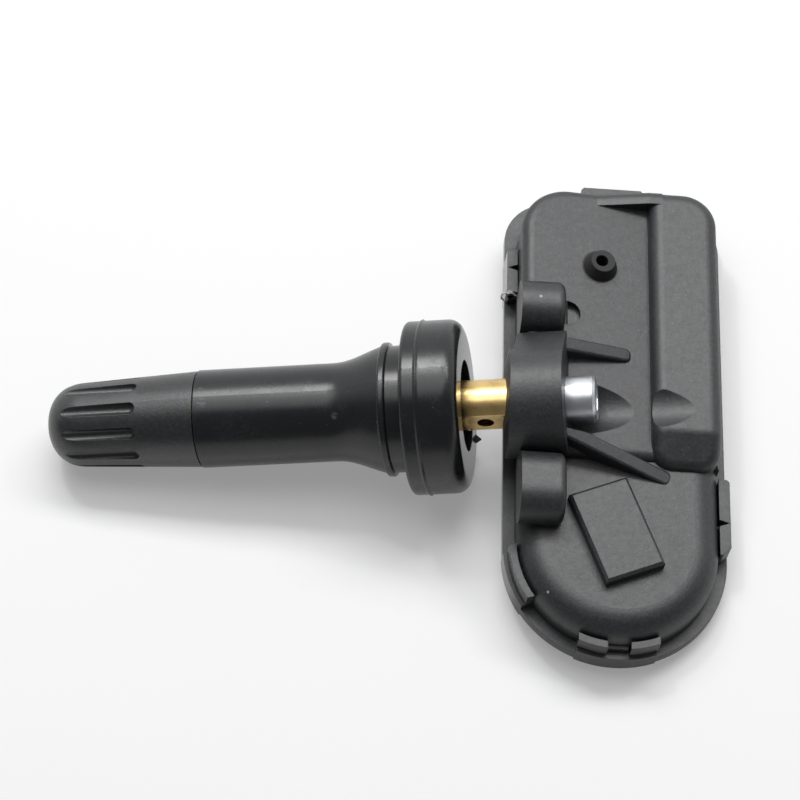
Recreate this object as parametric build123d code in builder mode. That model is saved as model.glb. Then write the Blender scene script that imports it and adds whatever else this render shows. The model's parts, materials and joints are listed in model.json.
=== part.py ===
from build123d import *
import os
from collections import namedtuple
from math import acos, atan2, cos, hypot, radians, sin, tan

# Tyre pressure sensor with a snap-in rubber valve. Millimetres and degrees.
# The origin is on the stem axis at the rim seat. +X runs from the cap to the housing, +Z is up.

# How the sensor lies on a table
stem_slope = 6.9
stem_to_face = 14.0

# Rubber stem, with stations measured outwards from the rim seat
flange_radius = 9.5
flange_thickness = 6.2
flange_round = 1.5
shoulder_round = 0.5
parting_ridge = 0.15
parting_width = 0.5
parting_depth = 1.9
recess_radius = 5.0
recess_depth = 2.4
groove_radius = 6.95
groove_width = 1.8
bead_radius = 7.35
bead_width = 0.9
bead_round = 0.3
taper_radius = 7.0
taper_length = 5.6
stem_radius = 5.4
stem_length = 23.2

# Brass insert
rod_radius = 2.75
rod_reach = 14.7
flat_distance = 2.2
flat_start = 6.4
cross_hole_radius = 0.9
cross_hole_station = 8.3
collar_radius = 4.6
collar_width = 2.0
shank_radius = 3.2
thread_radius = 3.85
thread_cover = 3.2
thread_reach = 13.2
mouth_chamfer = 0.4
air_radius = 1.3
air_end = 9.2
core_bore_radius = 2.1
core_bore_depth = 16.4
chamber_radius = 2.6
chamber_depth = 5.4
seat_taper = 1.2

# Valve core, with depths measured from the mouth of the brass
fit_clearance = 0.05
plug_depth = 0.4
plug_length = 3.6
plug_bridge = 1.6
bridge_width = 3.0
barrel_length = 5.8
barrel_radius = 1.95
barrel_wall = 0.6
barrel_floor = 0.8
pin_radius = 0.45
pin_depth = 0.3
pin_hole_clearance = 0.25
pin_collar_radius = 1.1
pin_collar_thickness = 0.5
pin_collar_depth = 4.7
pin_head_radius = 0.9
pin_head_thickness = 0.4
seat_thickness = 1.2
seat_gap = 0.05
cup_radius = 1.7
cup_wall = 0.2
cup_floor = 0.5
spring_radius = 0.93
spring_wire_radius = 0.16
spring_turns = 6

# Valve cap
cap_length = 17.2
cap_gap = 0.15
cap_mouth_radius = 5.3
cap_top_radius = 4.65
cap_bore_radius = 4.05
dome_height = 4.0
flute_count = 11
flute_radius = 0.65
flute_wall = 0.2
flute_start = 7.1
seal_thickness = 1.3
seal_gap = 0.15

# Housing, with heights measured from the back of the cover
cover_width = 24.6
cover_top = 28.9
cell_edge_y = -6.9
corner_radius = 5.2
wall_corner = 5.4
cover_thickness = 1.6
cover_edge_round = 0.5
ledge = 1.3
wall = 1.2
dome_level = 6.2
dome_roof = 0.9
panel_level = 8.2
panel_slope = 5.7
face_ceiling = 5.6
ridge_level = 8.7
dome_round = 3.0
face_round = 1.2
ridge_round = 1.5
ridge_corner = 2.4
ridge_slope = 25.0
ridge_slope_y = -2.6
step_y = -5.6
ridge_width = 7.7
ridge_end_y = -6.4
ridge_cavity_y = 5.6
ramp_length = 5.8
ramp_width = 1.9

# Clamp boss, its ears and its gussets
seat_to_screw = 17.2
screw_seat_x = 6.1
screw_seat_height = 9.0
boss_radius = 6.0
nose_half_width = 3.9
nose_length = 1.6
boss_length = 7.0
boss_floor = 3.9
ear_radius = 3.0
ear_height = 7.6
ear_start = 1.0
ear_length = 4.9
ear_round = 0.8
saddle_length = 5.4
saddle_y = 8.2
saddle_height = 0.8
upper_ear_y = 11.8
upper_ear_crest = 0.3
lower_ear_y = -10.0
lower_ear_crest = 2.0
gusset_width = 1.7
gusset_end_round = 0.7
gusset_top_round = 0.35
gusset_start = 5.4
gusset_top = 9.9
upper_gusset_y = 6.7
upper_gusset_gap = 2.2
upper_gusset_end_y = 6.9
upper_gusset_lip = 0.3
lower_gusset_y = -3.6
lower_gusset_pass = 2.2
lower_gusset_end_y = -7.5
channel_radius = 3.7
bed_gap = 1.2
bed_half_width = 5.0

# Vent and raised pad
vent_left = 2.2
vent_y = 17.8
vent_base_radius = 1.9
vent_top_radius = 1.35
vent_height = 1.4
vent_hole_radius = 0.7
pocket_right = 0.25
pocket_y = 11.5
pocket_radius = 1.45
pocket_depth = 0.9
pad_left = 0.65
pad_up = 0.67
pad_width = 6.8
pad_length = 10.8
pad_turn = 22.0
pad_height = 1.4
pad_chamfer = 0.3

# Latches between the cover and the housing
latch_height = 4.4
tall_latch_height = 5.9
latch_bar_height = 2.4
latch_set_back = 0.4
latch_gap = 2.5
latch_notch = 0.8
latch_notch_skin = 0.12
latch_end = 0.3
latch_cut = 0.9
latch_clearance = 0.08
top_latch_left = 0.5
top_latch_width = 7.1
right_latch_y = -10.7
right_latch_width = 9.0
right_notch_shift = 0.7
left_latch_y = 18.4
left_latch_width = 5.6
left_notch_shift = 0.35
end_latch_width = 8.8
corner_latch_width = 6.4
corner_latch_turn = 198.0
nub_side_gap = 0.1
nub_tip = 0.08
nub_height = 0.7
nub_proud = 0.4
tear_x = 0.55
tear_height = 3.2
tear_radius = 0.42
tear_depth = 0.9

# Mounting screw
screw_head_radius = 2.6
screw_head_length = 3.2
screw_head_chamfer = 0.3
screw_radius = 1.5
screw_length = 6.3
drive_width = 2.5
drive_depth = 1.5

# Electronics
board_thickness = 0.8
board_height = 2.7
board_gap = 0.7
board_low_y = -3.4
post_radius = 1.1
post_inset = 2.2
spigot_height = 1.0
spigot_width = 1.0
cell_gap = 1.8
cell_thickness = 3.2
cell_round = 0.4
cell_lift = 0.2
cradle_clearance = 0.15
cradle_width = 0.9
cradle_height = 1.9
cradle_open_y = -10.5
cell_pad_radius = 1.2
cell_pad_ring = 6.0
cell_pad_angles = (-90, 30, 195)
tab_thickness = 0.2
tab_width = 4.0
tab_foot = 1.8
tab_offset = 3.3
chip_size = 6.0
chip_height = 1.5
chip_port_radius = 0.8
chip_port_depth = 0.5
seal_radius = 2.0
coil_y = 14.0
coil_length = 10.0
coil_flange = 2.4
coil_flange_width = 1.2
coil_bar = 1.3
winding_size = 2.1
winding_round = 0.3
antenna_radius = 0.4
antenna_low_y = 6.8
antenna_high_y = 24.2
antenna_gap = 0.35
antenna_bend = 1.4
crystal_length = 5.0
crystal_width = 3.2
crystal_height = 1.1
crystal_left = 0.5
crystal_y = 22.6
capacitor_length = 1.6
capacitor_width = 0.8
capacitor_pitch = 2.4
capacitor_count = 4
capacitor_gap = 1.2
capacitor_y = 13.4

os.makedirs("parts", exist_ok=True)

# Stem frame: x of the section plane is the station along the axis, y is the radius
slope = radians(stem_slope)
stem_out = Vector(-cos(slope), 0, -sin(slope))
stem_axis = Axis((0, 0, 0), stem_out)
stem_section = Plane(origin=(0, 0, 0), x_dir=stem_out, z_dir=(0, 1, 0))
stem_flat_side = Plane(origin=(0, 0, 0), x_dir=stem_out, z_dir=(0, -1, 0))


def stem_plane(station):
    return Plane(origin=stem_out * station, x_dir=(0, 1, 0), z_dir=stem_out)


# Housing frame: x across the face, y along it, z up from the back of the cover
tilt = radians(stem_to_face - stem_slope)
face_across = Vector(cos(tilt), 0, -sin(tilt))
face_up = Vector(sin(tilt), 0, cos(tilt))
screw_seat = stem_out * -seat_to_screw
base_corner = screw_seat - face_across * screw_seat_x - face_up * screw_seat_height
base = Plane(origin=base_corner, x_dir=face_across, z_dir=face_up)
up = Axis(base_corner, face_up)
along = Axis(base_corner, (0, 1, 0))
across = Axis(base_corner, face_across)

centre_x = cover_width / 2
ridge_left = cover_width - ledge - ridge_width
vent_x = centre_x - vent_left
pocket_x = screw_seat_x + pocket_right
dome_ceiling = dome_level - dome_roof
ridge_ceiling = ridge_level - wall
board_top = board_height + board_thickness
cell_bottom = cover_thickness + cell_lift
cell_top = cell_bottom + cell_thickness
inner_inset = ledge + wall
cell_radius = centre_x - inner_inset - cell_gap
end_centre_y = cell_edge_y - cell_radius


# The face falls towards the ridge
panel_turn = radians(panel_slope)
panel_across = face_across * cos(panel_turn) - face_up * sin(panel_turn)
panel_up = face_up * cos(panel_turn) + face_across * sin(panel_turn)


def panel_height(x):
    return panel_level - (x - inner_inset) * tan(panel_turn)


def panel_plane(x, y):
    # Plane on the sloping face at one of its points
    return Plane(
        origin=base.from_local_coords((x, y, panel_height(x))), x_dir=panel_across, z_dir=panel_up
    )


def side_plane(x):
    # Plane across the housing at x, with its own x along the housing and its y up
    return Plane(origin=base.from_local_coords((x, 0, 0)), x_dir=(0, 1, 0), z_dir=face_across)


def outline(inset, low_y=None, left_x=None):
    # Long flat with two round corners and a half-round cell end, or the part of it past two lines
    half = centre_x - inset
    top = cover_top - inset
    with BuildSketch() as shape:
        with Locations((centre_x, end_centre_y)):
            Circle(half)
        with Locations((centre_x, (top + end_centre_y) / 2)):
            Rectangle(2 * half, top - end_centre_y)
        fillet(shape.vertices().group_by(Axis.Y)[-1].sort_by(Axis.X)[-1], corner_radius - inset)
        left_corner = corner_radius if inset < ledge else wall_corner + ledge
        fillet(shape.vertices().group_by(Axis.Y)[-1].sort_by(Axis.X)[0], left_corner - inset)
        if low_y is not None:
            with Locations((centre_x, low_y)):
                Rectangle(2 * cover_width, 2 * cover_top, align=(Align.CENTER, Align.MAX), mode=Mode.SUBTRACT)
        if left_x is not None:
            with Locations((left_x, 0)):
                Rectangle(cover_width, 4 * cover_top, align=(Align.MAX, Align.CENTER), mode=Mode.SUBTRACT)
    return shape.sketch_local


def draw_outline(plane, inset, low_y=None, left_x=None):
    return plane * outline(inset, low_y, left_x)


def section(*points):
    # Face in the stem section from (station, radius) points
    with BuildSketch(stem_section) as face:
        with BuildLine():
            Polyline(*points, close=True)
        make_face()
    return face.sketch


def write(piece, name):
    piece.part.label = name
    export_step(piece.part, f"parts/{name}.step")


# Stations that follow the length of the rubber
thread_start = stem_length - thread_cover
brass_end = stem_length + thread_reach
core_bore_end = brass_end - core_bore_depth

# Rubber stem
bead_end = groove_width + bead_width
taper_end = bead_end + taper_length
parting_near = -parting_depth + parting_width / 2
parting_far = -parting_depth - parting_width / 2
recess_floor = recess_depth - flange_thickness
with BuildPart() as rubber_stem:
    with BuildSketch(stem_section) as profile:
        with BuildLine():
            Polyline(
                (recess_floor, rod_radius),
                (recess_floor, recess_radius),
                (-flange_thickness, recess_radius),
                (-flange_thickness, flange_radius),
                (parting_far, flange_radius),
                (-parting_depth, flange_radius + parting_ridge),
                (parting_near, flange_radius),
                (0, flange_radius),
                (0, groove_radius),
                (groove_width, groove_radius),
                (groove_width, bead_radius),
                (bead_end, bead_radius),
                (bead_end, taper_radius),
            )
            Bezier(
                (bead_end, taper_radius),
                (bead_end + 0.45 * taper_length, (taper_radius + stem_radius) / 2),
                (bead_end + 0.65 * taper_length, stem_radius),
                (taper_end, stem_radius),
            )
            Polyline(
                (taper_end, stem_radius),
                (stem_length, stem_radius),
                (stem_length, thread_radius),
                (thread_start, thread_radius),
                (thread_start, shank_radius),
                (0, shank_radius),
                (0, collar_radius),
                (-collar_width, collar_radius),
                (-collar_width, rod_radius),
                (recess_floor, rod_radius),
            )
        make_face()
        bead_corners = profile.vertices().filter_by(lambda v: abs(v.Y - bead_radius) < 1e-6)
        fillet(bead_corners, bead_round)
        flange_corners = profile.vertices().filter_by(lambda v: abs(v.Y - flange_radius) < 1e-6)
        fillet(flange_corners.sort_by(Axis.X)[0], flange_round)
        flange_corners = profile.vertices().filter_by(lambda v: abs(v.Y - flange_radius) < 1e-6)
        fillet(flange_corners.sort_by(Axis.X)[-1], shoulder_round)
    revolve(axis=stem_axis)
write(rubber_stem, "rubber_stem")

# Brass insert: valve mouth at one end, flatted rod with its screw bore at the other
screw_end = screw_length - seat_to_screw
screw_bore_end = screw_end + 2 * fit_clearance
chamber_end = brass_end - chamber_depth
seat_end = chamber_end - seat_taper
with BuildPart() as brass_stem:
    profile = section(
        (-rod_reach, screw_radius),
        (-rod_reach, rod_radius),
        (-collar_width, rod_radius),
        (-collar_width, collar_radius),
        (0, collar_radius),
        (0, shank_radius),
        (thread_start, shank_radius),
        (thread_start, thread_radius),
        (brass_end - mouth_chamfer, thread_radius),
        (brass_end, thread_radius - mouth_chamfer),
        (brass_end, chamber_radius),
        (chamber_end, chamber_radius),
        (seat_end, core_bore_radius),
        (core_bore_end, core_bore_radius),
        (core_bore_end, air_radius),
        (-air_end, air_radius),
        (-air_end, 0),
        (screw_bore_end, 0),
        (screw_bore_end, screw_radius),
    )
    revolve(profile, axis=stem_axis)
    with BuildSketch(stem_flat_side.offset(flat_distance)):
        with Locations((-flat_start, 0)):
            Rectangle(2 * rod_reach, 4 * rod_radius, align=(Align.MAX, Align.CENTER))
    extrude(amount=rod_radius, mode=Mode.SUBTRACT)
    with BuildSketch(stem_flat_side.offset(flat_distance)):
        with Locations((-cross_hole_station, 0)):
            Circle(cross_hole_radius)
    extrude(amount=-flat_distance, mode=Mode.SUBTRACT)
write(brass_stem, "brass_stem")

# Valve core: threaded plug with a bridge for the core tool
plug_top = brass_end - plug_depth
plug_end = plug_top - plug_length
plug_radius = chamber_radius - fit_clearance
bridge_end = plug_top - plug_bridge
pin_hole_radius = pin_radius + pin_hole_clearance
barrel_bore_radius = barrel_radius - barrel_wall
with BuildPart() as core_plug:
    profile = section(
        (plug_end, barrel_bore_radius),
        (plug_end, plug_radius),
        (plug_top, plug_radius),
        (plug_top, pin_hole_radius),
        (bridge_end, pin_hole_radius),
        (bridge_end, barrel_bore_radius),
    )
    revolve(profile, axis=stem_axis)
    with BuildSketch(stem_plane(plug_top)):
        Rectangle(4 * plug_radius, 4 * plug_radius)
        Rectangle(bridge_width, 4 * plug_radius, mode=Mode.SUBTRACT)
    extrude(amount=-plug_bridge, mode=Mode.SUBTRACT)
write(core_plug, "core_plug")

# Valve core: barrel that hangs under the plug, with the pin's hole in its floor
barrel_end = plug_end - barrel_length
floor_top = barrel_end + barrel_floor
with BuildPart() as core_barrel:
    profile = section(
        (barrel_end, pin_hole_radius),
        (barrel_end, barrel_radius),
        (plug_end, barrel_radius),
        (plug_end, barrel_bore_radius),
        (floor_top, barrel_bore_radius),
        (floor_top, pin_hole_radius),
    )
    revolve(profile, axis=stem_axis)
write(core_barrel, "core_barrel")

# Valve core: ring that seals the barrel in the taper of the brass
with BuildPart() as core_ring:
    profile = section(
        (seat_end, barrel_radius),
        (seat_end, core_bore_radius),
        (chamber_end, chamber_radius),
        (chamber_end, barrel_radius),
    )
    revolve(profile, axis=stem_axis)
write(core_ring, "core_ring")

# Valve core: pin, with a collar for the spring and a head that carries the cup
pin_top = brass_end - pin_depth
collar_top = brass_end - pin_collar_depth
collar_low = collar_top - pin_collar_thickness
seat_top = barrel_end - seat_gap
cup_floor_top = seat_top - seat_thickness
cup_bottom = cup_floor_top - cup_floor
pin_end = cup_bottom - pin_head_thickness
with BuildPart() as core_pin:
    profile = section(
        (pin_top, 0),
        (pin_top, pin_radius),
        (collar_top, pin_radius),
        (collar_top, pin_collar_radius),
        (collar_low, pin_collar_radius),
        (collar_low, pin_radius),
        (cup_bottom, pin_radius),
        (cup_bottom, pin_head_radius),
        (pin_end, pin_head_radius),
        (pin_end, 0),
    )
    revolve(profile, axis=stem_axis)
write(core_pin, "core_pin")

# Valve core: metal cup and the rubber washer in it
cup_rim = cup_floor_top + seat_thickness / 2
cup_bore_radius = cup_radius - cup_wall
with BuildPart() as core_cup:
    profile = section(
        (cup_bottom, pin_radius),
        (cup_bottom, cup_radius),
        (cup_rim, cup_radius),
        (cup_rim, cup_bore_radius),
        (cup_floor_top, cup_bore_radius),
        (cup_floor_top, pin_radius),
    )
    revolve(profile, axis=stem_axis)
write(core_cup, "core_cup")

with BuildPart() as core_seat:
    profile = section(
        (cup_floor_top, pin_radius),
        (cup_floor_top, cup_bore_radius),
        (seat_top, cup_bore_radius),
        (seat_top, pin_radius),
    )
    revolve(profile, axis=stem_axis)
write(core_seat, "core_seat")

# Valve core: spring between the barrel's floor and the pin's collar
spring_low = floor_top + spring_wire_radius
spring_rise = collar_low - spring_wire_radius - spring_low
with BuildPart() as core_spring:
    with BuildLine() as coil:
        Helix(
            pitch=spring_rise / spring_turns,
            height=spring_rise,
            radius=spring_radius,
            center=stem_out * spring_low,
            direction=stem_out,
        )
    with BuildSketch(Plane(origin=coil.line @ 0, z_dir=coil.line % 0)):
        Circle(spring_wire_radius)
    sweep(path=coil.line, is_frenet=True)
write(core_spring, "core_spring")

# Valve cap: tapered, domed and fluted
cap_mouth = stem_length + cap_gap
cap_tip = cap_mouth + cap_length
dome_start = cap_tip - dome_height
seal_low = brass_end + seal_gap
cap_floor = seal_low + seal_thickness
flute_centre = cap_bore_radius + flute_wall + flute_radius
with BuildPart() as valve_cap:
    with BuildSketch(stem_section):
        with BuildLine():
            Polyline(
                (cap_tip, 0),
                (cap_floor, 0),
                (cap_floor, cap_bore_radius),
                (cap_mouth, cap_bore_radius),
                (cap_mouth, cap_mouth_radius),
                (dome_start, cap_top_radius),
            )
            Bezier(
                (dome_start, cap_top_radius),
                (dome_start + 0.62 * dome_height, 0.97 * cap_top_radius),
                (cap_tip, 0.62 * cap_top_radius),
                (cap_tip, 0),
            )
        make_face()
    revolve(axis=stem_axis)
    with BuildSketch(stem_plane(cap_mouth + flute_start)):
        with PolarLocations(flute_centre, flute_count):
            Circle(flute_radius)
    extrude(amount=cap_length, mode=Mode.SUBTRACT)
    with Locations(stem_plane(cap_mouth + flute_start)):
        with PolarLocations(flute_centre, flute_count):
            Sphere(flute_radius, mode=Mode.SUBTRACT)
write(valve_cap, "valve_cap")

# Rubber disc in the cap
with BuildPart() as cap_seal:
    with BuildSketch(stem_plane(seal_low)):
        Circle(cap_bore_radius - fit_clearance)
    extrude(amount=seal_thickness)
write(cap_seal, "cap_seal")

# Mounting screw: cylinder head with a hexagon socket, clamping the boss to the brass rod
head_end = -seat_to_screw - screw_head_length
shank_of_screw = screw_radius - fit_clearance
with BuildPart() as mounting_screw:
    profile = section(
        (screw_end, 0),
        (screw_end, shank_of_screw),
        (-seat_to_screw, shank_of_screw),
        (-seat_to_screw, screw_head_radius),
        (head_end + screw_head_chamfer, screw_head_radius),
        (head_end, screw_head_radius - screw_head_chamfer),
        (head_end, 0),
    )
    revolve(profile, axis=stem_axis)
    with BuildSketch(stem_plane(head_end)):
        RegularPolygon(drive_width / 2, 6, major_radius=False)
    extrude(amount=drive_depth, mode=Mode.SUBTRACT)
write(mounting_screw, "mounting_screw")

# Latches on the wall: where each stands and faces, its cut end, its notch or gap, its height and set-back
wall_half = centre_x - ledge
wall_top = cover_top - ledge
Latch = namedtuple("Latch", "x y facing width cut notch gap shift height set_back")


def end_latch(facing, width, gap):
    # Latch on the half-round end
    turn = radians(facing)
    x = centre_x + wall_half * cos(turn)
    y = end_centre_y + wall_half * sin(turn)
    return Latch(x, y, facing, width, latch_end, 0, gap, 0, latch_height, latch_set_back)


top_x = centre_x - top_latch_left
right_x = centre_x + wall_half
low = latch_height
notch = latch_notch
latches = [
    Latch(top_x, wall_top, 90, top_latch_width, latch_end, 0, 0, 0, tall_latch_height, 0),
    Latch(right_x, right_latch_y, 0, right_latch_width, latch_cut, notch, 0, right_notch_shift, low, 0),
    Latch(ledge, left_latch_y, 180, left_latch_width, latch_end, notch, 0, left_notch_shift, low, 0),
    end_latch(-90, end_latch_width, latch_gap),
    end_latch(corner_latch_turn, corner_latch_width, 0),
]


def latch_blank(latch):
    # Corners of a latch seen from above, with its outer ends cut off
    half = latch.width / 2
    return [
        (-half, -2 * ledge),
        (half, -2 * ledge),
        (half, ledge - latch.cut),
        (half - latch.cut, ledge),
        (latch_end - half, ledge),
        (-half, ledge - latch_end),
    ]


def latch_plane(latch, height):
    # Plane at a latch, with its y facing out from the wall
    turn = radians(latch.facing)
    tangent = base.x_dir * sin(turn) - base.y_dir * cos(turn)
    origin = base.from_local_coords((latch.x, latch.y, height))
    return Plane(origin=origin, x_dir=tangent, z_dir=face_up)


# Housing forms: battery end, flat face and antenna ridge, each with its own rounded top
foot = base.offset(cover_thickness)
with BuildPart() as dome_form:
    extrude(draw_outline(foot, ledge), amount=dome_level - cover_thickness)
    fillet(dome_form.edges().group_by(up)[-1], dome_round)

with BuildPart() as face_form:
    extrude(draw_outline(foot, ledge, low_y=step_y), amount=ridge_level - cover_thickness)
    split(bisect_by=panel_plane(inner_inset, 0), keep=Keep.BOTTOM)
    fillet(face_form.edges().group_by(Axis(base_corner, panel_up))[-1], face_round)

ridge_turn = radians(ridge_slope)
ridge_end_up = face_up * cos(ridge_turn) - Vector(0, sin(ridge_turn), 0)
ridge_foot = ridge_level + (ridge_end_y - ridge_slope_y) * tan(ridge_turn)
with BuildPart() as ridge_form:
    ridge_outline = draw_outline(foot, ledge, low_y=ridge_end_y, left_x=ridge_left)
    extrude(ridge_outline, amount=ridge_level - cover_thickness)
    slope_start = base.from_local_coords((0, ridge_slope_y, ridge_level))
    split(bisect_by=Plane(origin=slope_start, x_dir=face_across, z_dir=ridge_end_up), keep=Keep.BOTTOM)
    fillet(ridge_form.edges().filter_by(up).group_by(along)[0], ridge_corner)
    rims = ridge_form.edges().filter_by(lambda e: base.to_local_coords(e.center()).Z > ridge_foot - wall)
    fillet(rims, ridge_round)

# Ramp from the face's top edge up to the ridge
ramp_foot = ridge_left - ramp_length
top_wall = Plane(origin=base.from_local_coords((0, wall_top, 0)), x_dir=face_across, z_dir=(0, -1, 0))
with BuildPart() as ramp_form:
    with BuildSketch(top_wall):
        with BuildLine():
            Polyline(
                (ramp_foot, face_ceiling),
                (ridge_left + ridge_round, face_ceiling),
                (ridge_left + ridge_round, ridge_level),
                (ridge_left, ridge_level),
                (ramp_foot, panel_height(ramp_foot)),
                close=True,
            )
        make_face()
    extrude(amount=ramp_width)
    fillet(ramp_form.faces().sort_by(along)[-1].edges().group_by(up)[-2:], face_round)

# Raised pad over the battery
with BuildPart() as pad:
    with BuildSketch(base.offset(dome_ceiling)):
        with Locations(Location((centre_x - pad_left, end_centre_y + pad_up), pad_turn)):
            Rectangle(pad_width, pad_length)
    extrude(amount=dome_roof + pad_height)
    chamfer(pad.edges().group_by(up)[-1], pad_chamfer)

# Vent with its conical lip
with BuildPart() as vent:
    with BuildSketch(panel_plane(vent_x, vent_y).offset(-vent_height)):
        Circle(vent_base_radius)
    extrude(amount=vent_height)
    with BuildSketch(panel_plane(vent_x, vent_y)):
        Circle(vent_base_radius)
    with BuildSketch(panel_plane(vent_x, vent_y).offset(vent_height)):
        Circle(vent_top_radius)
    loft()


def ear(y, crest):
    # Round-topped ear of the clamp boss, with a flat crest and a rounded end
    with BuildPart() as lobe:
        with BuildSketch(side_plane(ear_start)):
            with Locations((y, ear_height)):
                SlotCenterToCenter(crest, 2 * ear_radius)
        extrude(amount=ear_length)
        fillet(lobe.edges().group_by(across)[-1], ear_round)
        split(bisect_by=base.offset(dome_ceiling), keep=Keep.TOP)
    return lobe.part


def gusset(start_y, end_x, end_y, end_height):
    # Sloping rib from the boss down to the face
    run = base.x_dir * (end_x - gusset_start) + base.y_dir * (end_y - start_y)
    place = base.from_local_coords((gusset_start, start_y, 0))
    with BuildPart() as rib:
        with BuildSketch(Plane(origin=place, x_dir=run, z_dir=run.cross(face_up))):
            with BuildLine():
                Polyline(
                    (0, dome_ceiling),
                    (run.length, dome_ceiling),
                    (run.length, end_height),
                    (0, gusset_top),
                    close=True,
                )
            make_face()
        extrude(amount=gusset_width / 2, both=True)
        fillet(rib.edges().filter_by(up).sort_by(Axis(place, run))[-2:], gusset_end_round)
        fillet(rib.faces().sort_by(up)[-1].edges(), gusset_top_round)
    return rib.part


# Clamp boss: nose round the stem, two ears, two gussets and the bed of the screwdriver channel
boss_front = boss_length - seat_to_screw
nose_x = screw_seat_x - boss_length * cos(radians(stem_to_face))
saddle_reach = hypot(saddle_y, saddle_height)
saddle_turn = atan2(saddle_height, saddle_y) + acos(boss_radius / saddle_reach)
saddle_tangent = (boss_radius * cos(saddle_turn), -boss_radius * sin(saddle_turn))
with BuildPart() as boss:
    with BuildSketch(stem_plane(-seat_to_screw)):
        Circle(boss_radius)
    extrude(amount=boss_length)
    with BuildSketch(base):
        with Locations((nose_x, 0)):
            Rectangle(2 * boss_length, 2 * nose_half_width, align=(Align.MIN, Align.CENTER))
        with Locations((nose_x + nose_length, 0)):
            Rectangle(2 * boss_length, 4 * boss_radius, align=(Align.MIN, Align.CENTER))
        make_hull()
    extrude(amount=4 * boss_radius, mode=Mode.INTERSECT)
    # Saddle between the nose and the upper ear
    with BuildSketch(stem_plane(-seat_to_screw)):
        with BuildLine():
            Polyline(
                (0, 0),
                (saddle_y, 0),
                (saddle_y, -saddle_height),
                saddle_tangent,
                (0, -saddle_height),
                close=True,
            )
        make_face()
    extrude(amount=saddle_length)
    add(ear(upper_ear_y, upper_ear_crest))
    add(ear(lower_ear_y, lower_ear_crest))
    upper_gusset_end = ridge_left - upper_gusset_gap
    upper_end_height = panel_height(upper_gusset_end) + upper_gusset_lip
    add(gusset(upper_gusset_y, upper_gusset_end, upper_gusset_end_y, upper_end_height))
    add(gusset(lower_gusset_y, ridge_left + lower_gusset_pass, lower_gusset_end_y, dome_level))
    with BuildSketch(base.offset(boss_floor)):
        with Locations((ledge, 0)):
            Rectangle(ridge_left - bed_gap - ledge, 2 * bed_half_width, align=(Align.MIN, Align.CENTER))
    extrude(amount=face_ceiling - boss_floor)
    split(bisect_by=base.offset(boss_floor), keep=Keep.TOP)


def nub(latch):
    # Wedge on the wall that catches in a latch's notch or gap
    root = (latch.notch + latch.gap) / 2 - nub_side_gap
    tip = root if latch.gap else nub_tip
    with BuildPart() as wedge:
        with BuildSketch(latch_plane(latch, latch_bar_height + latch_clearance)):
            with Locations((latch.shift, 0)):
                Polygon(
                    (-root, -nub_proud), (root, -nub_proud), (tip, nub_proud), (-tip, nub_proud), align=None
                )
        extrude(amount=nub_height)
    return wedge.part


# Housing: the forms joined, hollowed and bored
with BuildPart() as housing:
    add(dome_form.part)
    add(face_form.part)
    add(ridge_form.part)
    add(ramp_form.part)
    add(pad.part)
    add(vent.part)
    extrude(draw_outline(foot, inner_inset), amount=dome_ceiling - cover_thickness, mode=Mode.SUBTRACT)
    face_hollow = draw_outline(foot, inner_inset, low_y=step_y + wall)
    extrude(face_hollow, amount=face_ceiling - cover_thickness, mode=Mode.SUBTRACT)
    ridge_hollow = draw_outline(foot, inner_inset, low_y=ridge_cavity_y, left_x=ridge_left + wall)
    extrude(ridge_hollow, amount=ridge_ceiling - cover_thickness, mode=Mode.SUBTRACT)
    add(boss.part)
    # Socket for the flatted rod, and the screw's hole behind it
    with BuildSketch(stem_plane(boss_front)):
        Circle(rod_radius + fit_clearance)
        with Locations((-flat_distance - fit_clearance, 0)):
            Rectangle(rod_radius, 4 * rod_radius, align=(Align.MAX, Align.CENTER), mode=Mode.SUBTRACT)
    extrude(amount=-(boss_front + rod_reach), mode=Mode.SUBTRACT)
    with BuildSketch(stem_plane(boss_front)):
        Circle(screw_radius + fit_clearance)
    extrude(amount=-boss_length, mode=Mode.SUBTRACT)
    # Channel for the screw's head and its driver, over the face and through the ridge
    with BuildSketch(stem_plane(-seat_to_screw)):
        Circle(channel_radius)
    extrude(amount=-2 * cover_width, mode=Mode.SUBTRACT)
    # Pocket beside the upper ear
    with BuildSketch(base.offset(panel_height(pocket_x) - pocket_depth)):
        with Locations((pocket_x, pocket_y)):
            Circle(pocket_radius)
    extrude(amount=pocket_depth, mode=Mode.SUBTRACT)
    # Vent hole
    with BuildSketch(base.offset(face_ceiling)):
        with Locations((vent_x, vent_y)):
            Circle(vent_hole_radius)
    extrude(amount=ridge_level + vent_height - face_ceiling, mode=Mode.SUBTRACT)
    for latch in latches:
        if latch.notch or latch.gap:
            add(nub(latch))
write(housing, "housing")

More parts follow.
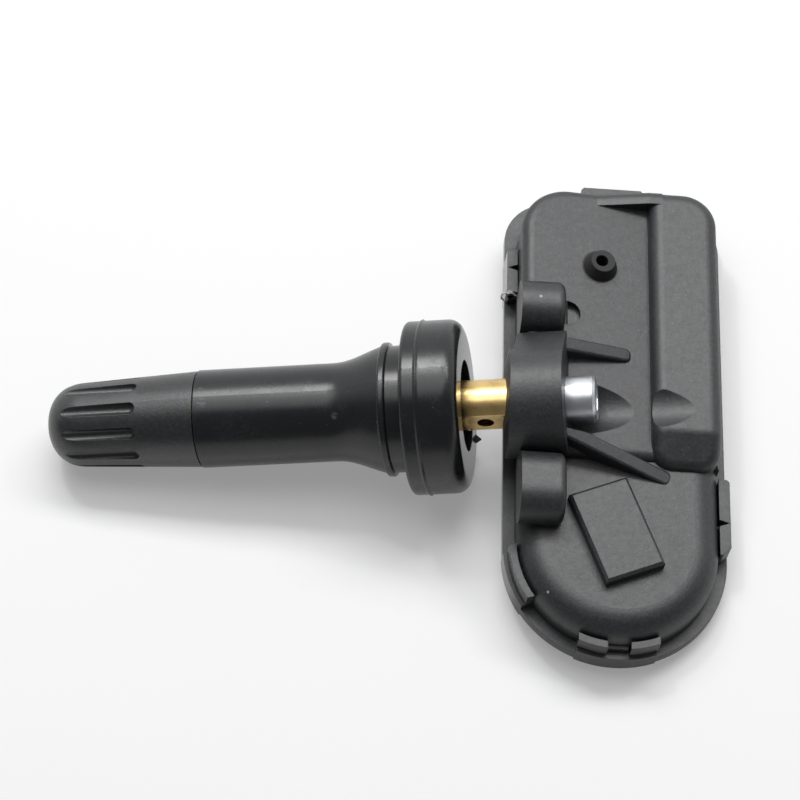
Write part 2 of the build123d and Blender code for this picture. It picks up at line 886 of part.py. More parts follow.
# Cover: plate with a ledge, spigot, board posts, cell cradle, cell pads and latches
spigot_inset = inner_inset + latch_clearance
board_inset = inner_inset + board_gap
post_x = (board_inset + post_inset, cover_width - board_inset - post_inset)
post_y = (board_low_y + post_inset, cover_top - board_inset - post_inset)
cradle_bore = cell_radius + cradle_clearance
with BuildPart() as cover:
    extrude(draw_outline(base, 0), amount=cover_thickness)
    fillet(cover.edges().group_by(up)[0], cover_edge_round)
    extrude(draw_outline(foot, spigot_inset), amount=spigot_height)
    extrude(draw_outline(foot, spigot_inset + spigot_width), amount=spigot_height, mode=Mode.SUBTRACT)
    with BuildSketch(foot):
        with Locations(*[(x, y) for x in post_x for y in post_y]):
            Circle(post_radius)
    extrude(amount=board_height - cover_thickness)
    with BuildSketch(foot):
        with Locations((centre_x, end_centre_y)):
            Circle(cradle_bore + cradle_width)
            Circle(cradle_bore, mode=Mode.SUBTRACT)
        with Locations((centre_x, cradle_open_y)):
            Rectangle(4 * cell_radius, 4 * cell_radius, align=(Align.CENTER, Align.MIN), mode=Mode.SUBTRACT)
    extrude(amount=cradle_height)
    with BuildSketch(foot):
        with Locations((centre_x, end_centre_y)):
            for angle in cell_pad_angles:
                with PolarLocations(cell_pad_ring, 1, start_angle=angle):
                    Circle(cell_pad_radius)
    extrude(amount=cell_lift)
    for latch in latches:
        place = Location((latch.x, latch.y), latch.facing - 90)
        opening = place * Location((latch.shift, 0))
        with BuildSketch(base):
            add(outline(0))
            add(outline(ledge - latch_clearance), mode=Mode.SUBTRACT)
            with Locations(place):
                Polygon(*latch_blank(latch), align=None, mode=Mode.INTERSECT)
        extrude(amount=latch_bar_height)
        with BuildSketch(base):
            add(outline(latch.set_back))
            add(outline(ledge - latch_clearance), mode=Mode.SUBTRACT)
            with Locations(place):
                Polygon(*latch_blank(latch), align=None, mode=Mode.INTERSECT)
            with Locations(opening):
                if latch.notch:
                    tip = (0, ledge - latch_notch_skin)
                    Polygon((-latch.notch / 2, 0), (latch.notch / 2, 0), tip, align=None, mode=Mode.SUBTRACT)
                if latch.gap:
                    Rectangle(latch.gap, 4 * ledge, mode=Mode.SUBTRACT)
        extrude(amount=latch.height)
    # Torn end of the left latch
    tear_y = left_latch_y - left_latch_width / 2
    tear_place = base.from_local_coords((tear_x, tear_y, tear_height))
    with BuildSketch(Plane(origin=tear_place, x_dir=face_across, z_dir=(0, 1, 0))):
        RegularPolygon(tear_radius, 6)
    extrude(amount=tear_depth, mode=Mode.SUBTRACT)
write(cover, "cover")

# Circuit board
with BuildPart() as circuit_board:
    extrude(draw_outline(base.offset(board_height), board_inset, low_y=board_low_y), amount=board_thickness)
write(circuit_board, "circuit_board")

# Coin cell: can with a smaller cap on its upper side
with BuildPart() as battery:
    with BuildSketch(base.offset(cell_bottom)):
        with Locations((centre_x, end_centre_y)):
            Circle(cell_radius)
    extrude(amount=cell_thickness - cell_round)
    fillet(battery.edges().group_by(up)[0], cell_round)
    with BuildSketch(base.offset(cell_top - cell_round)):
        with Locations((centre_x, end_centre_y)):
            Circle(cell_radius - 3 * cell_round)
    extrude(amount=cell_round)
write(battery, "battery")


def tab(x, cell_face, board_face, lift):
    # Bent strip from a face of the cell to a face of the board; lift is the side the strip lies on
    step_in = end_centre_y + cell_radius + 2 * cradle_clearance + cradle_width
    level = cell_face + lift * tab_thickness
    landing = board_face + lift * tab_thickness
    with BuildPart() as strip:
        with BuildSketch(side_plane(x)):
            with BuildLine():
                Polyline(
                    (end_centre_y, cell_face),
                    (step_in, cell_face),
                    (step_in, board_face),
                    (board_low_y + tab_foot, board_face),
                    (board_low_y + tab_foot, landing),
                    (step_in + tab_thickness, landing),
                    (step_in + tab_thickness, level),
                    (end_centre_y, level),
                    close=True,
                )
            make_face()
        extrude(amount=tab_width / 2, both=True)
    return strip.part


with BuildPart() as battery_tab_top:
    add(tab(centre_x + tab_offset, cell_top, board_top, 1))
write(battery_tab_top, "battery_tab_top")

with BuildPart() as battery_tab_bottom:
    add(tab(centre_x - tab_offset, cell_bottom, board_height, -1))
write(battery_tab_bottom, "battery_tab_bottom")

# Pressure chip under the vent, and the ring that seals it to the housing
chip_top = board_top + chip_height
with BuildPart() as pressure_sensor:
    with BuildSketch(base.offset(board_top)):
        with Locations((vent_x, vent_y)):
            Rectangle(chip_size, chip_size)
    extrude(amount=chip_height)
    with BuildSketch(base.offset(chip_top)):
        with Locations((vent_x, vent_y)):
            Circle(chip_port_radius)
    extrude(amount=-chip_port_depth, mode=Mode.SUBTRACT)
write(pressure_sensor, "pressure_sensor")

with BuildPart() as vent_seal:
    with BuildSketch(base.offset(chip_top)):
        with Locations((vent_x, vent_y)):
            Circle(seal_radius)
            Circle(chip_port_radius, mode=Mode.SUBTRACT)
    extrude(amount=face_ceiling - chip_top)
write(vent_seal, "vent_seal")

# Wake-up coil: ferrite bar with end flanges, and its winding
coil_x = ridge_left + ridge_width / 2
coil_middle = base.from_local_coords((coil_x, coil_y, board_top + coil_flange / 2))
with BuildPart() as coil_core:
    with Locations(Plane(origin=coil_middle, x_dir=(0, 1, 0), z_dir=face_across)):
        Box(coil_length, coil_flange, coil_flange)
        Box(coil_length - 2 * coil_flange_width, 2 * coil_flange, 2 * coil_flange, mode=Mode.SUBTRACT)
        Box(coil_length, coil_bar, coil_bar)
write(coil_core, "coil_core")

with BuildPart() as coil_winding:
    with BuildSketch(Plane(origin=coil_middle, x_dir=face_across, z_dir=(0, -1, 0))):
        RectangleRounded(winding_size, winding_size, winding_round)
        Rectangle(coil_bar, coil_bar, mode=Mode.SUBTRACT)
    extrude(amount=coil_length / 2 - coil_flange_width, both=True)
write(coil_winding, "coil_winding")

# Antenna: bent wire under the ridge, standing on the board
antenna_height = ridge_ceiling - antenna_gap - antenna_radius
with BuildPart() as antenna:
    with BuildLine(side_plane(coil_x)) as wire:
        FilletPolyline(
            (antenna_low_y, board_top),
            (antenna_low_y, antenna_height),
            (antenna_high_y, antenna_height),
            (antenna_high_y, board_top),
            radius=antenna_bend,
        )
    with BuildSketch(Plane(origin=wire.line @ 0, z_dir=wire.line % 0)):
        Circle(antenna_radius)
    sweep(path=wire.line)
write(antenna, "antenna")

# Crystal and capacitors on the board
with BuildPart() as crystal:
    with BuildSketch(base.offset(board_top)):
        with Locations((vent_x - crystal_left, crystal_y)):
            Rectangle(crystal_length, crystal_width)
    extrude(amount=crystal_height)
write(crystal, "crystal")

capacitor_x = vent_x + chip_size / 2 + capacitor_gap + capacitor_length / 2
with BuildPart() as capacitors:
    with BuildSketch(base.offset(board_top)):
        with Locations(*[(capacitor_x, capacitor_y + i * capacitor_pitch) for i in range(capacitor_count)]):
            Rectangle(capacitor_length, capacitor_width)
    extrude(amount=capacitor_width)
write(capacitors, "capacitors")
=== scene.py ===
import json
import math
import bpy
import bmesh
from mathutils import Matrix, Vector


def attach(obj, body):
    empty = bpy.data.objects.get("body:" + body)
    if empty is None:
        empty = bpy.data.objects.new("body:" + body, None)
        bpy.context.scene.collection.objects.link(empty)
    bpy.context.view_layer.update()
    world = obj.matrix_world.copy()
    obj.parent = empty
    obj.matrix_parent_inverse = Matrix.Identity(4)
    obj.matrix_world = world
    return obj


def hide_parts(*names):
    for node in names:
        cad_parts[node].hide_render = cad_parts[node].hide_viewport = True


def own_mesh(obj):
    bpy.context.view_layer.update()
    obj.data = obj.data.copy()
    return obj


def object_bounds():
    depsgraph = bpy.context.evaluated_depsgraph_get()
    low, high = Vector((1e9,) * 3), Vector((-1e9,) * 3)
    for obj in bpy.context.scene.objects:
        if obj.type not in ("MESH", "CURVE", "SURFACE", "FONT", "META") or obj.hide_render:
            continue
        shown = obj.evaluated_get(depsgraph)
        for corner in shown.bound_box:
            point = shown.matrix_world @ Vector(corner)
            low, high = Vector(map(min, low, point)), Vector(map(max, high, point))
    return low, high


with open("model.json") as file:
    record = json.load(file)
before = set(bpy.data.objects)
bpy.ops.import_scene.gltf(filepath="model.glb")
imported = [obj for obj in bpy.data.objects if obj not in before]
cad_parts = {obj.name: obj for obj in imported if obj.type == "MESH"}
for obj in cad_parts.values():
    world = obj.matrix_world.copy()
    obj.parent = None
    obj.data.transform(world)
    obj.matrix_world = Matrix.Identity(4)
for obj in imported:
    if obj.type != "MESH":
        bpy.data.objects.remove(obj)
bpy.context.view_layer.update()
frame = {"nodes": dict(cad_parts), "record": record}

MM = 0.001
SENSOR = "sensor"

# Stem axis and housing frame, as the part lies on a table
slope = math.radians(6.9)
stem_out = Vector((-math.cos(slope), 0, -math.sin(slope)))
tilt = math.radians(7.1)
face_across = Vector((math.cos(tilt), 0, -math.sin(tilt)))
face_along = Vector((0, 1, 0))
face_up = Vector((math.sin(tilt), 0, math.cos(tilt)))
stem_top = face_along.cross(stem_out)
boss_station = 17.2
boss_across = 6.1
axis_height = 9.0
base_corner = stem_out * -boss_station - face_across * boss_across - face_up * axis_height


def on_housing(x, y, z):
    # Point given in millimetres across, along and above the back of the cover
    return (base_corner + face_across * x + face_along * y + face_up * z) * MM


def on_stem(station, turn, radius):
    # Point on the stem given by its station, its turn from the top towards +Y, and its radius
    angle = math.radians(turn)
    outward = stem_top * math.cos(angle) + face_along * math.sin(angle)
    return (stem_out * station + outward * radius) * MM


def close_mesh(shape, name, smooth=False):
    # Turns a finished bmesh into a named mesh with its faces looking outward
    bmesh.ops.recalc_face_normals(shape, faces=shape.faces)
    for face in shape.faces:
        face.smooth = smooth
    mesh = bpy.data.meshes.new(name)
    shape.to_mesh(mesh)
    shape.free()
    return mesh


def join_rings(shape, rings):
    # Skins rings of corners one after another and closes both ends
    count = len(rings[0])
    for a, b in zip(rings, rings[1:]):
        for j in range(count):
            k = (j + 1) % count
            shape.faces.new((a[j], a[k], b[k], b[j]))
    shape.faces.new(rings[0][::-1])
    shape.faces.new(rings[-1])


def new_piece(name, mesh, material):
    piece = bpy.data.objects.new(name, mesh)
    bpy.context.scene.collection.objects.link(piece)
    piece.data.materials.append(material)
    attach(piece, SENSOR)
    return piece


# Materials
plastic_dust = (0.34, 0.34, 0.35)
plastic_nick = (0.36, 0.36, 0.37)
matt_black = (0.007, 0.007, 0.008)
rubber_flow = (0.015, 0.0155, 0.0168)
rubber_haze = (0.026, 0.0268, 0.029)
rubber_dust = (0.4, 0.4, 0.41)
rubber_scuff = (0.09, 0.091, 0.095)
matt = 0.75
polish = 0.14


class Look:
    # Principled material with helpers for its procedural detail
    def __init__(self, name, colour, roughness, metallic=0.0, gloss=0.5):
        self.material = bpy.data.materials.new(name)
        self.material.use_nodes = True
        self.nodes = self.material.node_tree.nodes
        self.links = self.material.node_tree.links
        self.shader = self.nodes["Principled BSDF"]
        self.shader.inputs["Metallic"].default_value = metallic
        self.shader.inputs["Specular IOR Level"].default_value = gloss
        space = self.nodes.new("ShaderNodeTexCoord")
        self.coords = space.outputs["Object"]
        self.facing_way = space.outputs["Normal"]
        self.colour = (*colour, 1)
        self.rough = roughness
        self.normal = None

    def feed(self, source, socket):
        # Links an output to a socket, or sets a plain value on it
        if isinstance(source, bpy.types.NodeSocket):
            self.links.new(source, socket)
        else:
            socket.default_value = source

    def noise(self, scale, detail=4.0, rough=0.55, stretch=None):
        node = self.nodes.new("ShaderNodeTexNoise")
        node.inputs["Scale"].default_value = scale
        node.inputs["Detail"].default_value = detail
        node.inputs["Roughness"].default_value = rough
        source = self.coords
        if stretch:
            mapping = self.nodes.new("ShaderNodeMapping")
            mapping.inputs["Rotation"].default_value = (0, -slope, 0)
            mapping.inputs["Scale"].default_value = stretch
            self.links.new(source, mapping.inputs["Vector"])
            source = mapping.outputs["Vector"]
        self.links.new(source, node.inputs["Vector"])
        return node.outputs["Fac"]

    def spread(self, value, low, high, to_low=0.0, to_high=1.0):
        node = self.nodes.new("ShaderNodeMapRange")
        node.interpolation_type = "SMOOTHSTEP"
        node.inputs["From Min"].default_value = low
        node.inputs["From Max"].default_value = high
        node.inputs["To Min"].default_value = to_low
        node.inputs["To Max"].default_value = to_high
        self.links.new(value, node.inputs["Value"])
        return node.outputs["Result"]

    def times(self, a, b):
        node = self.nodes.new("ShaderNodeMath")
        node.operation = "MULTIPLY"
        self.links.new(a, node.inputs[0])
        self.feed(b, node.inputs[1])
        return node.outputs[0]

    def near(self, point, reach, core=0.35):
        # One near a point of the frame, falling to nothing at reach
        node = self.nodes.new("ShaderNodeVectorMath")
        node.operation = "DISTANCE"
        node.inputs[1].default_value = point
        self.links.new(self.coords, node.inputs[0])
        return self.spread(node.outputs["Value"], reach, reach * core)

    def facing(self, direction):
        # One on the faces that look along a direction of the frame
        node = self.nodes.new("ShaderNodeVectorMath")
        node.operation = "DOT_PRODUCT"
        node.inputs[1].default_value = direction
        self.links.new(self.facing_way, node.inputs[0])
        return self.spread(node.outputs["Value"], 0.85, 0.97)

    def tint(self, factor, colour):
        node = self.nodes.new("ShaderNodeMix")
        node.data_type = "RGBA"
        self.links.new(factor, node.inputs["Factor"])
        self.feed(self.colour, node.inputs["A"])
        node.inputs["B"].default_value = (*colour, 1)
        self.colour = node.outputs["Result"]

    def dull(self, factor, roughness):
        node = self.nodes.new("ShaderNodeMix")
        self.links.new(factor, node.inputs["Factor"])
        self.feed(self.rough, node.inputs["A"])
        node.inputs["B"].default_value = roughness
        self.rough = node.outputs["Result"]

    def soften(self, radius):
        node = self.nodes.new("ShaderNodeBevel")
        node.samples = 6
        node.inputs["Radius"].default_value = radius
        self.normal = node.outputs["Normal"]

    def bump(self, height, strength, distance):
        node = self.nodes.new("ShaderNodeBump")
        node.inputs["Strength"].default_value = strength
        node.inputs["Distance"].default_value = distance
        self.links.new(height, node.inputs["Height"])
        if self.normal:
            self.links.new(self.normal, node.inputs["Normal"])
        self.normal = node.outputs["Normal"]

    def done(self):
        self.feed(self.colour, self.shader.inputs["Base Color"])
        self.feed(self.rough, self.shader.inputs["Roughness"])
        if self.normal:
            self.links.new(self.normal, self.shader.inputs["Normal"])
        return self.material


def moulded(name, colour, pale, roughness, grain, marks=(), dark_spot=None, polished=None):
    # Moulded plastic with a fine grain, dust, pale dots, a darker spot and sides polished by the mould
    look = Look(name, colour, roughness, gloss=0.7)
    look.soften(0.00012)
    look.tint(look.spread(look.noise(2600, 3, 0.6), 0.36, 0.66, 0, 0.6), pale)
    specks = look.spread(look.noise(5200, 2), 0.69, 0.78, 0, 0.35)
    look.tint(specks, plastic_dust)
    for point, reach in marks:
        look.tint(look.near(point, reach), plastic_nick)
    look.dull(look.spread(look.noise(1600, 4), 0.35, 0.7, 0, 0.5), roughness + 0.1)
    if dark_spot:
        spot = look.near(*dark_spot, core=0.9)
        look.tint(spot, matt_black)
        look.dull(spot, matt)
    if polished:
        look.dull(look.facing(polished), polish)
    look.bump(look.noise(grain, 3, 0.6), 0.55, 0.00004)
    return look.done()


def rubber(name, colour, roughness, marks=(), polished=None):
    # Satin rubber with faint flow marks, haze, dust and scuffs, and faces polished by the mould
    look = Look(name, colour, roughness, gloss=0.5)
    look.soften(0.0001)
    flow = look.noise(150, 5, stretch=(0.35, 1, 1))
    look.tint(look.spread(flow, 0.42, 0.75, 0, 0.5), rubber_flow)
    patches = look.spread(look.noise(240, 4), 0.5, 0.66)
    haze = look.times(patches, look.spread(look.noise(2200, 4), 0.38, 0.7, 0, 0.4))
    look.tint(haze, rubber_haze)
    look.dull(haze, roughness + 0.2)
    dust = look.spread(look.noise(6400, 2), 0.72, 0.79, 0, 0.45)
    look.tint(dust, rubber_dust)
    for point, reach in marks:
        streaks = look.noise(3200, 2, stretch=(0.15, 1, 1))
        scuff = look.times(look.near(point, reach), look.spread(streaks, 0.42, 0.65))
        look.tint(scuff, rubber_scuff)
    look.dull(look.spread(look.noise(420, 5), 0.35, 0.7, 0, 0.4), roughness + 0.12)
    if polished:
        look.dull(look.facing(polished), polish)
    look.bump(look.noise(3800, 4, 0.6), 0.12, 0.00002)
    look.bump(look.noise(480, 3), 0.03, 0.00008)
    return look.done()


def metal(name, colour, stain, roughness, grain=(40, 900, 900)):
    # Worked metal with fine tool lines and slight staining
    look = Look(name, colour, roughness, 1.0)
    look.soften(0.00008)
    look.tint(look.spread(look.noise(700, 5), 0.42, 0.75, 0, 0.7), stain)
    lines = look.noise(1.0, 4, 0.6, stretch=grain)
    look.dull(look.spread(lines, 0.35, 0.7, 0, 0.8), roughness + 0.16)
    look.bump(lines, 0.12, 0.00001)
    return look.done()


def fired(name, colour, speck, roughness):
    # Pressed and fired or cured surface with small specks
    look = Look(name, colour, roughness)
    look.soften(0.00008)
    look.tint(look.spread(look.noise(3000, 3), 0.5, 0.72, 0, 0.7), speck)
    look.dull(look.spread(look.noise(900, 3), 0.4, 0.7, 0, 0.5), roughness + 0.15)
    look.bump(look.noise(5200, 3), 0.2, 0.00001)
    return look.done()


# Places of the marks, each with its reach in metres
housing_marks = [
    (on_housing(1.84, 22.62, 7.4), 0.0002),
    (on_housing(4.48, -21.11, 5.4), 0.00022),
    (on_housing(22.97, 4.75, 7.6), 0.00022),
    (on_housing(3.01, 11.85, 10.6), 0.00022),
]
stem_marks = [
    (on_stem(22.4, 9, 5.4), 0.0005),
    (on_stem(22.2, -8, 5.4), 0.0008),
    (on_stem(14.9, -13, 5.4), 0.0004),
    (on_stem(7.5, -31, 5.4), 0.0005),
    (on_stem(6.5, -50, 5.4), 0.0003),
]
vent_spot = (on_housing(10.1, 17.8, 8.0), 0.0022)

black = (0.0112, 0.0124, 0.0142)
black_grain = (0.031, 0.0327, 0.0355)
cap_black = (0.0134, 0.0147, 0.016)
looks = {
    "housing_plastic": moulded("housing_plastic", black, black_grain, 0.46, 3400, housing_marks, vent_spot),
    "cover_plastic": moulded("cover_plastic", black, black_grain, 0.46, 3400, polished=-face_across),
    "cap_plastic": moulded("cap_plastic", cap_black, black_grain, 0.32, 4200),
    "stem_rubber": rubber("stem_rubber", (0.0088, 0.01, 0.0114), 0.24, stem_marks, -stem_out),
    "seal_rubber": rubber("seal_rubber", (0.03, 0.03, 0.032), 0.6),
    "brass": metal("brass", (0.78, 0.57, 0.25), (0.5, 0.32, 0.13), 0.24),
    "zinc_steel": metal("zinc_steel", (0.68, 0.7, 0.73), (0.5, 0.52, 0.56), 0.32),
    "cell_steel": metal("cell_steel", (0.72, 0.71, 0.69), (0.56, 0.55, 0.53), 0.3, (900, 60, 900)),
    "spring_steel": metal("spring_steel", (0.66, 0.66, 0.67), (0.5, 0.5, 0.52), 0.25),
    "copper": metal("copper", (0.72, 0.33, 0.17), (0.5, 0.2, 0.1), 0.3, (900, 900, 60)),
    "board_laminate": fired("board_laminate", (0.012, 0.11, 0.045), (0.03, 0.17, 0.07), 0.35),
    "chip_resin": fired("chip_resin", (0.022, 0.022, 0.024), (0.05, 0.05, 0.05), 0.5),
    "ferrite": fired("ferrite", (0.06, 0.06, 0.065), (0.11, 0.11, 0.12), 0.55),
    "capacitor_ceramic": fired("capacitor_ceramic", (0.42, 0.29, 0.17), (0.5, 0.37, 0.24), 0.45),
}
torn_rubber = rubber("torn_rubber", (0.003, 0.003, 0.0035), 0.7)
slot_of = {part["node"]: part["material_slot"] for part in frame["record"]["subparts"]}
for name, node in frame["nodes"].items():
    node.data.materials.clear()
    node.data.materials.append(looks[slot_of[name]])

# Pieces wound round the stem's axis: the core spring and the thread under the cap
steps_per_turn = 48


def wound(name, start, end, turns, section_at, smooth):
    # Sweeps a section round the axis from one station to another, rising as it turns
    shape = bmesh.new()
    rings = []
    steps = turns * steps_per_turn
    for i in range(steps + 1):
        share = i / steps
        angle = 2 * math.pi * turns * share
        outward = face_along * math.cos(angle) - stem_top * math.sin(angle)
        station = start + (end - start) * share
        ring = []
        for shift, radius in section_at(share):
            point = stem_out * (station + shift) + outward * radius
            ring.append(shape.verts.new(point * MM))
        rings.append(ring)
    join_rings(shape, rings)
    return close_mesh(shape, name, smooth)


# Core spring, which shortens when the pin is pressed
spring_low = 27.4
spring_high = 31.2
wire_radius = 0.16
coil_radius = 0.93
coil_turns = 6
wire_sides = 10
wire_section = []
for j in range(wire_sides):
    angle = 2 * math.pi * j / wire_sides
    wire_section.append((wire_radius * math.sin(angle), coil_radius + wire_radius * math.cos(angle)))


def wire_at(share):
    # The wire's round section, the same all the way
    return wire_section


wire_low = spring_low + wire_radius
wire_high = spring_high - wire_radius
spring_mesh = wound("core_spring_coil", wire_low, wire_high, coil_turns, wire_at, True)
spring = new_piece("core_spring_coil", spring_mesh, looks["spring_steel"])
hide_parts("core_spring")
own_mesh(spring)

# Thread on the brass under the cap, with a run-out at both ends
thread_start = 24.6
thread_pitch = 0.794
thread_turns = 14
thread_root = 3.8
thread_height = 0.16
thread_foot = 0.3
thread_crest = 0.07
thread_least = 0.1


def ridge_at(share):
    # The ridge's section, which fades over half a turn at each end
    run_out = min(1, 2 * thread_turns * share, 2 * thread_turns * (1 - share))
    crest = thread_root + max(thread_least, run_out) * thread_height
    flank_out = (-thread_foot, thread_root), (-thread_crest, crest)
    flank_in = (thread_crest, crest), (thread_foot, thread_root)
    return flank_out + flank_in


thread_end = thread_start + thread_pitch * thread_turns
thread_mesh = wound("valve_thread", thread_start, thread_end, thread_turns, ridge_at, False)
new_piece("valve_thread", thread_mesh, looks["brass"])

# Wear: the torn end of one latch and a flake of rubber left on the flange


torn = Look("torn_plastic", (0.5, 0.5, 0.51), 0.5, gloss=0.4)
torn.tint(torn.spread(torn.noise(3000, 3), 0.45, 0.7), (0.16, 0.16, 0.165))
torn.bump(torn.noise(5200, 3), 0.3, 0.00002)
torn_plastic = torn.done()

# Lip round the torn hole: across, up and how far it stands out, in millimetres
latch_end_y = 15.7
lip_thickness = 0.1
hole_centre = on_housing(0.55, latch_end_y, 3.2)
lip_points = [
    (-0.12, 2.4, 0.2),
    (-0.5, 3.1, 0.35),
    (-0.45, 4.15, 0.4),
    (-0.05, 4.3, 0.25),
    (0.12, 4.45, 0.45),
    (0.58, 4.33, 0.3),
    (0.9, 4.0, 0.4),
    (1.14, 3.8, 0.35),
    (1.2, 2.7, 0.2),
]
lip_shape = bmesh.new()
lip_rings = []
for x, z, reach in lip_points:
    root = on_housing(x, latch_end_y, z)
    tip = root - face_along * reach * MM
    outward = (root - hole_centre).normalized() * lip_thickness * MM
    corners = (root, tip, tip + outward, root + outward)
    lip_rings.append([lip_shape.verts.new(corner) for corner in corners])
join_rings(lip_shape, lip_rings)
lip_mesh = close_mesh(lip_shape, "torn_latch_end")
new_piece("torn_latch_end", lip_mesh, torn_plastic)

# Flake on the flange: outline away from the rubber and along, in millimetres
flake_station = -6.0
flake_radius = 7.7
flake_shift = 0.25
flake_side = 0.15
flake_centre = stem_out * flake_station - stem_top * flake_radius - face_along * flake_shift
flake_outline = [
    (-0.1, 1.2),
    (0.22, 0.45),
    (0.8, -0.1),
    (0.38, -0.4),
    (0.02, -0.65),
    (-0.4, -0.38),
    (-0.42, 0.0),
    (-0.3, 0.42),
]
flake_shape = bmesh.new()
flake_rings = []
for side in (-flake_side, flake_side):
    ring = []
    for out, along in flake_outline:
        point = flake_centre + face_along * along - stem_out * out + stem_top * side
        ring.append(flake_shape.verts.new(point * MM))
    flake_rings.append(ring)
join_rings(flake_shape, flake_rings)
flake_mesh = close_mesh(flake_shape, "rubber_flake")
new_piece("rubber_flake", flake_mesh, torn_rubber)

# Floor, with a lift that lightens the shadow near the object and whitens the floor far away


def seen_by(nodes, links, path):
    # One where the eye, a reflection or glass looks, nothing where light bounces
    total = path.outputs["Is Camera Ray"]
    for name in ("Is Glossy Ray", "Is Transmission Ray"):
        node = nodes.new("ShaderNodeMath")
        node.operation = "MAXIMUM"
        links.new(total, node.inputs[0])
        links.new(path.outputs[name], node.inputs[1])
        total = node.outputs[0]
    return total


floor_half = 1.5
floor_white = 0.97
shadow_lift = 0.25
lift_reach = 0.45
lift_core = 0.3
table_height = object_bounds()[0][2]
floor_mesh = bpy.data.meshes.new("floor")
floor_shape = bmesh.new()
bmesh.ops.create_grid(floor_shape, x_segments=1, y_segments=1, size=floor_half)
floor_shape.to_mesh(floor_mesh)
floor_shape.free()
floor = bpy.data.objects.new("floor", floor_mesh)
bpy.context.scene.collection.objects.link(floor)
floor.location = (0, 0, table_height)
floor_look = Look("floor", (0.4, 0.4, 0.4), 0.6, gloss=0.1)
floor_nodes = floor_look.nodes
floor_path = floor_nodes.new("ShaderNodeLightPath")
floor_seen = seen_by(floor_nodes, floor_look.links, floor_path)
floor_look.tint(floor_seen, (floor_white, floor_white, floor_white))
floor_drift = floor_look.spread(floor_look.noise(9, 3), 0.4, 0.7, 0, 0.5)
floor_look.tint(floor_look.times(floor_seen, floor_drift), (0.95, 0.95, 0.952))
floor_mesh.materials.append(floor_look.done())
lift = floor_nodes.new("ShaderNodeEmission")
lift.inputs["Color"].default_value = (1, 1, 1, 1)
lift.inputs["Strength"].default_value = floor_white
floor_mix = floor_nodes.new("ShaderNodeMixShader")
floor_near = floor_look.near((0, 0, 0), lift_reach, lift_core)
floor_lift = floor_look.spread(floor_near, 0, 1, 1.0, shadow_lift)
floor_look.links.new(floor_look.times(floor_seen, floor_lift), floor_mix.inputs["Fac"])
floor_look.links.new(floor_look.shader.outputs[0], floor_mix.inputs[1])
floor_look.links.new(lift.outputs[0], floor_mix.inputs[2])
floor_look.links.new(floor_mix.outputs[0], floor_nodes["Material Output"].inputs["Surface"])

# Lamps, each with its place in metres, its power in watts, its width and its depth


def soft_light(name, place, power, width, depth):
    data = bpy.data.lights.new(name, "AREA")
    data.shape = "RECTANGLE"
    data.size = width
    data.size_y = depth
    data.energy = power
    light = bpy.data.objects.new(name, data)
    light.location = place
    light.rotation_euler = (-Vector(place)).to_track_quat("-Z", "Y").to_euler()
    bpy.context.scene.collection.objects.link(light)


soft_light("back_softbox", (0.06, 0.276, 0.441), 2.0, 0.62, 0.12)
soft_light("top_softbox", (-0.06, 0.14, 0.6), 1.2, 0.5, 0.4)
soft_light("small_lamp", (-0.135, 0.25, 0.47), 0.3, 0.04, 0.04)

# Room: white to the eye, and in reflections white behind and darker on the camera's side
room_light = 0.16
dark_side = 0.16
world = bpy.data.worlds.new("studio")
world.use_nodes = True
bpy.context.scene.world = world
tree = world.node_tree


def world_node(kind, *inputs):
    # New node of the world with its sockets linked or set
    node = tree.nodes.new(kind)
    for socket, value in inputs:
        if isinstance(value, bpy.types.NodeSocket):
            tree.links.new(value, node.inputs[socket])
        else:
            node.inputs[socket].default_value = value
    return node


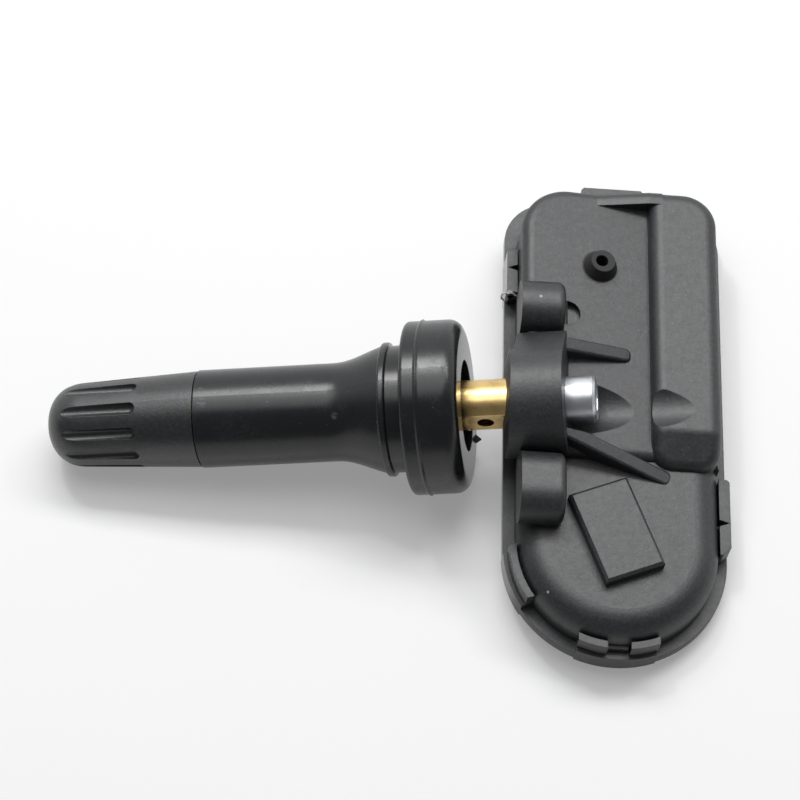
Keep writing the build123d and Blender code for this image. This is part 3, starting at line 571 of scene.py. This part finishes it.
direction = world_node("ShaderNodeTexCoord").outputs["Generated"]
parts = world_node("ShaderNodeSeparateXYZ", ("Vector", direction)).outputs
raised = world_node("ShaderNodeMapRange", ("Value", parts["Z"]), ("From Min", -0.05), ("From Max", 0.08))
front = world_node("ShaderNodeMapRange", ("Value", parts["Y"]), ("From Min", 0.4), ("From Max", -0.15))
shade = world_node("ShaderNodeMath", (0, raised.outputs[0]), (1, front.outputs[0]))
shade.operation = "MULTIPLY"
glow = world_node("ShaderNodeMapRange", ("Value", shade.outputs[0]), ("To Min", 1.0), ("To Max", dark_side))
room = tree.nodes["Background"]
room.inputs["Color"].default_value = (0.95, 0.96, 1, 1)
room.inputs["Strength"].default_value = room_light
world_path = world_node("ShaderNodeLightPath")
eye_or_glow = world_node("ShaderNodeMath", (0, glow.outputs[0]), (1, world_path.outputs["Is Camera Ray"]))
eye_or_glow.operation = "MAXIMUM"
seen = world_node("ShaderNodeBackground", ("Color", (1, 1, 1, 1)), ("Strength", eye_or_glow.outputs[0]))
pick = world_node("ShaderNodeMixShader", ("Fac", seen_by(tree.nodes, tree.links, world_path)))
tree.links.new(room.outputs[0], pick.inputs[1])
tree.links.new(seen.outputs[0], pick.inputs[2])
tree.links.new(pick.outputs[0], tree.nodes["World Output"].inputs["Surface"])

# Camera at the photograph's angle, with the rim seat at its pixel of the photograph
elevation = math.radians(63.0)
azimuth = math.radians(5.2)
roll = math.radians(4.4)
picture_width = 800
focal_pixels = 2986.0
pixels_per_mm = 9.15
seat_x = 410.5
seat_y = 408.5
film_width = 36.0
distance = focal_pixels / pixels_per_mm
away = math.cos(elevation)
to_camera = Vector((math.sin(azimuth) * away, -math.cos(azimuth) * away, math.sin(elevation)))
level = Vector((math.cos(azimuth), math.sin(azimuth), 0))
right = level * math.cos(roll) - to_camera.cross(level) * math.sin(roll)
above = to_camera.cross(right)
shift_right = (seat_x - picture_width / 2) / pixels_per_mm
shift_down = (seat_y - picture_width / 2) / pixels_per_mm
eye = to_camera * distance - right * shift_right + above * shift_down
camera_data = bpy.data.cameras.new("photo_camera")
camera_data.sensor_width = film_width
camera_data.lens = focal_pixels * film_width / picture_width
camera_data.clip_start = 0.01
camera_data.clip_end = 10.0
camera = bpy.data.objects.new("photo_camera", camera_data)
pose = Matrix((right, above, to_camera)).transposed().to_4x4()
pose.translation = eye * MM
camera.matrix_world = pose
bpy.context.scene.collection.objects.link(camera)
bpy.context.scene.camera = camera
bpy.context.scene.view_settings.view_transform = "Standard"
